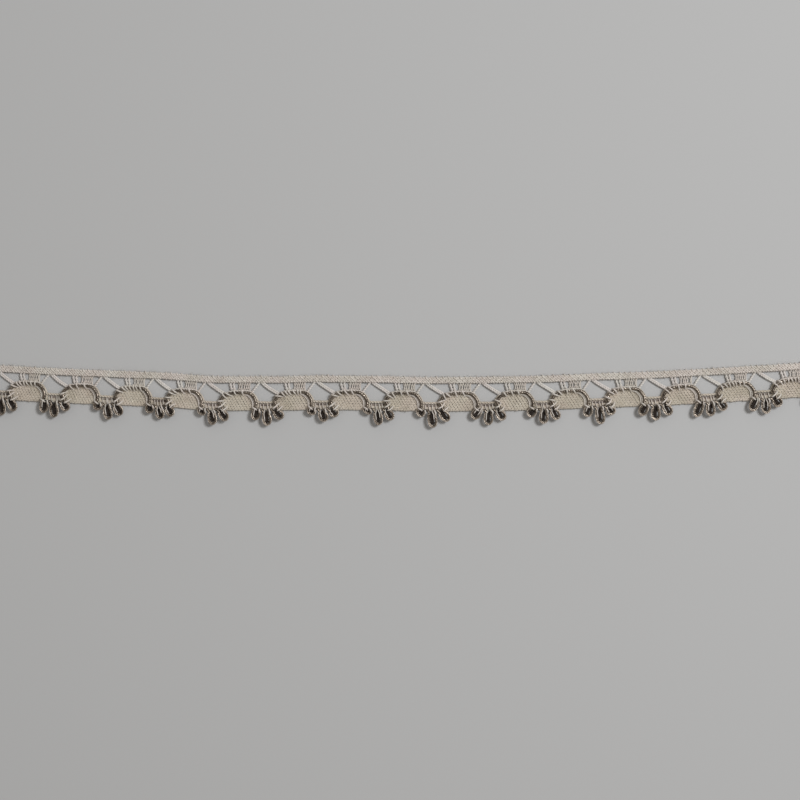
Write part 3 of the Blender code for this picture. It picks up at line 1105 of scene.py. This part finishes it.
class LACE_OT_stage(bpy.types.Operator):
    """Make the floor, the light and the camera"""
    bl_idname = "lace.stage"
    bl_label = "Stage"

    def execute(self, context):
        settings = context.scene.lace_stage
        mesh = bpy.data.meshes.new("floor")
        half = FLOOR_HALF_WIDTH
        corners = [(-half, -half, 0), (half, -half, 0), (half, half, 0), (-half, half, 0)]
        mesh.from_pydata(corners, [], [(0, 1, 2, 3)])
        floor = bpy.data.objects.new("floor", mesh)
        context.scene.collection.objects.link(floor)
        paint = Paint("floor")
        paint.set(Base_Color=rgb(settings.floor), Roughness=0.85, Specular_IOR_Level=0.2)
        mesh.materials.append(paint.material)
        light = bpy.data.lights.new("key", "AREA")
        light.energy = settings.key
        light.size = LAMP_SIZE
        light.color = LAMP_COLOUR
        lamp = bpy.data.objects.new("key", light)
        lamp.location = LAMP_PLACE
        lamp.rotation_euler = Vector(lamp.location).to_track_quat("Z", "Y").to_euler()
        context.scene.collection.objects.link(lamp)
        world = bpy.data.worlds.new("sky")
        world.use_nodes = True
        background = world.node_tree.nodes["Background"]
        background.inputs["Color"].default_value = SKY_COLOUR
        background.inputs["Strength"].default_value = settings.sky
        context.scene.world = world
        context.scene.view_settings.view_transform = "Standard"
        self.camera(context)
        return {"FINISHED"}

    def camera(self, context):
        """A camera straight above, with the photograph's width of the edging in view."""
        width = PICTURE_PIXELS * PIXEL * MM
        data = bpy.data.cameras.new("camera")
        data.lens = LENS
        camera = bpy.data.objects.new("camera", data)
        distance = width * data.lens / data.sensor_width
        camera.location = (PICTURE_MIDDLE[0] * MM, PICTURE_MIDDLE[1] * MM, distance)
        data.clip_start = 0.01
        context.scene.collection.objects.link(camera)
        context.scene.camera = camera


class LACE_PT_panel(bpy.types.Panel):
    """Lists the pieces of the edging"""
    bl_idname = "LACE_PT_panel"
    bl_label = "Lace Edging"
    bl_space_type = "VIEW_3D"
    bl_region_type = "UI"
    bl_category = "Lace"

    def draw(self, context):
        for group in (context.scene.lace_cotton, context.scene.lace_gimp, context.scene.lace_stage):
            box = self.layout.box()
            for name in group.__annotations__:
                box.prop(group, name)
        for operator in OPERATORS:
            self.layout.operator(operator.bl_idname)


SETTINGS = {"lace_cotton": LaceCottonSettings, "lace_gimp": LaceGimpSettings,
            "lace_stage": LaceStageSettings}
OPERATORS = (LACE_OT_stage, LACE_OT_heading, LACE_OT_plaits, LACE_OT_blocks, LACE_OT_wave,
             LACE_OT_bridges, LACE_OT_rims, LACE_OT_trims, LACE_OT_fuzz, LACE_OT_cores,
             LACE_OT_wires, LACE_OT_gimp, LACE_OT_wraps, LACE_OT_cloth)


def register():
    for cls in (*SETTINGS.values(), *OPERATORS, LACE_PT_panel):
        bpy.utils.register_class(cls)
    for name, group in SETTINGS.items():
        setattr(bpy.types.Scene, name, bpy.props.PointerProperty(type=group))


def unregister():
    for name in SETTINGS:
        delattr(bpy.types.Scene, name)
    for cls in (LACE_PT_panel, *reversed(OPERATORS), *reversed(list(SETTINGS.values()))):
        bpy.utils.unregister_class(cls)


def main():
    """Make the whole edging."""
    register()
    bpy.ops.lace.stage()
    bpy.ops.lace.heading()
    bpy.ops.lace.plaits()
    bpy.ops.lace.blocks()
    bpy.ops.lace.wave()
    bpy.ops.lace.bridges()
    bpy.ops.lace.rims()
    bpy.ops.lace.trims()
    bpy.ops.lace.fuzz()
    bpy.ops.lace.cores()
    bpy.ops.lace.wires()
    bpy.ops.lace.gimp()
    bpy.ops.lace.wraps()
    bpy.ops.lace.cloth()


if __name__ == "__main__":
    main()
